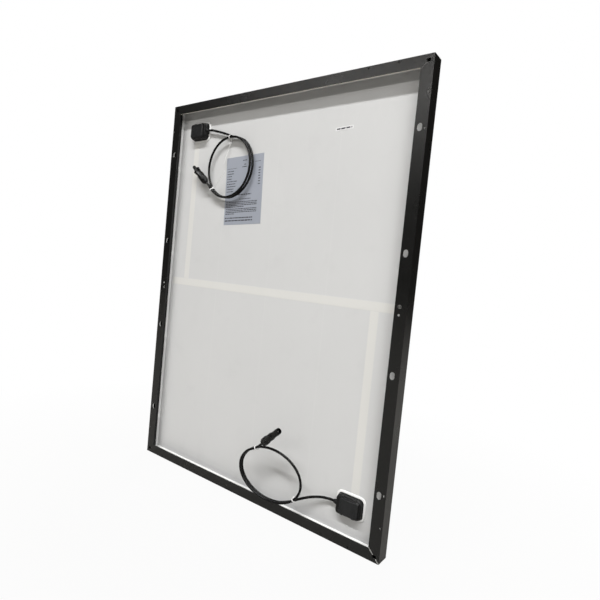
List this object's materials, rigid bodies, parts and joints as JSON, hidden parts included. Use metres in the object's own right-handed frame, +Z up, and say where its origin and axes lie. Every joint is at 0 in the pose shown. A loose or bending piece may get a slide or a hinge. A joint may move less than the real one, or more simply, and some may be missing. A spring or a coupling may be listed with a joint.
{
  "type": "framed solar panel",
  "caption": "Rectangular solar panel in a black mitred frame, glass front and white back, with corner junction boxes and coiled leads.",
  "frame": {"origin": "middle of the bottom edge, half way through the frame's depth", "axes": "+Z up the panel's long side, +Y out of the glass front, -Y out of the back, +X to the right as the back is looked at"},
  "size_m": [0.7, 0.0697, 0.92],
  "materials": {
    "black_anodised_frame": "fine satin black anodising, bare metal only on the sawn mitre faces",
    "corner_key_aluminium": "plain extruded aluminium",
    "edge_tape": "grey butyl edge tape",
    "white_sealant": "white silicone",
    "front_glass": "low-iron tempered glass",
    "encapsulant": "clear cured film",
    "solar_cell": "dark blue-black monocrystalline silicon",
    "tinned_ribbon": "tinned copper ribbon",
    "insulating_strip": "cream polyester film",
    "white_backsheet": "satin white polymer film",
    "box_plastic": "fine grained black moulding",
    "contact_brass": "plain copper alloy strip",
    "diode_case": "black moulded epoxy",
    "lead_sheath": "satin black cross-linked sheath",
    "connector_plastic": "satin black moulding",
    "connector_contact": "tinned copper contact",
    "white_nylon": "natural white nylon",
    "silver_label": "satin silver-grey film",
    "white_label": "white film"
  },
  "bodies": {
    "panel": {"backsheet": "white_backsheet", "bottom_bus_ribbon": "tinned_ribbon", "cell_string_lower_1": "solar_cell", "cell_string_lower_2": "solar_cell", "cell_string_lower_3": "solar_cell", "cell_string_lower_4": "solar_cell", "cell_string_upper_1": "solar_cell", "cell_string_upper_2": "solar_cell", "cell_string_upper_3": "solar_cell", "cell_string_upper_4": "solar_cell", "corner_key_bottom_left": "corner_key_aluminium", "corner_key_bottom_right": "corner_key_aluminium", "corner_key_top_left": "corner_key_aluminium", "corner_key_top_right": "corner_key_aluminium", "edge_seal": "edge_tape", "frame_rail_bottom": "black_anodised_frame", "frame_rail_left": "black_anodised_frame", "frame_rail_right": "black_anodised_frame", "frame_rail_top": "black_anodised_frame", "front_encapsulant": "encapsulant", "front_glass": "front_glass", "left_insulating_strip": "insulating_strip", "lower_box_adhesive": "white_sealant", "lower_box_base": "box_plastic", "lower_box_lead_contact": "contact_brass", "lower_box_tap_contact": "contact_brass", "lower_bypass_diode": "diode_case", "lower_cable_gland": "box_plastic", "lower_connector_body": "connector_plastic", "lower_connector_contact": "connector_contact", "lower_connector_nut": "connector_plastic", "lower_lead": "lead_sheath", "lower_tie_at_box": "white_nylon", "lower_tie_at_plug": "white_nylon", "middle_bus_ribbon": "tinned_ribbon", "middle_insulating_strip": "insulating_strip", "nameplate": "silver_label", "negative_lead_ribbon": "tinned_ribbon", "negative_tap_ribbon": "tinned_ribbon", "positive_lead_ribbon": "tinned_ribbon", "positive_tap_ribbon": "tinned_ribbon", "rear_encapsulant": "encapsulant", "rear_sealant_bead": "white_sealant", "right_insulating_strip": "insulating_strip", "serial_sticker": "white_label", "top_bus_ribbon": "tinned_ribbon", "upper_box_adhesive": "white_sealant", "upper_box_base": "box_plastic", "upper_box_lead_contact": "contact_brass", "upper_box_tap_contact": "contact_brass", "upper_bypass_diode": "diode_case", "upper_cable_gland": "box_plastic", "upper_connector_body": "connector_plastic", "upper_connector_contact": "connector_contact", "upper_connector_nut": "connector_plastic", "upper_lead": "lead_sheath", "upper_tie_at_box": "white_nylon", "upper_tie_at_plug": "white_nylon"},
    "upper_lid": {"upper_box_lid": "box_plastic"},
    "lower_lid": {"lower_box_lid": "box_plastic"}
  },
  "joints": [
    {"name": "upper_lid_lift", "type": "slide", "parent": "panel", "child": "upper_lid", "axis": [0, -1, 0], "range_m": [0, 0.03]},
    {"name": "lower_lid_lift", "type": "slide", "parent": "panel", "child": "lower_lid", "axis": [0, -1, 0], "range_m": [0, 0.03]}
  ]
}
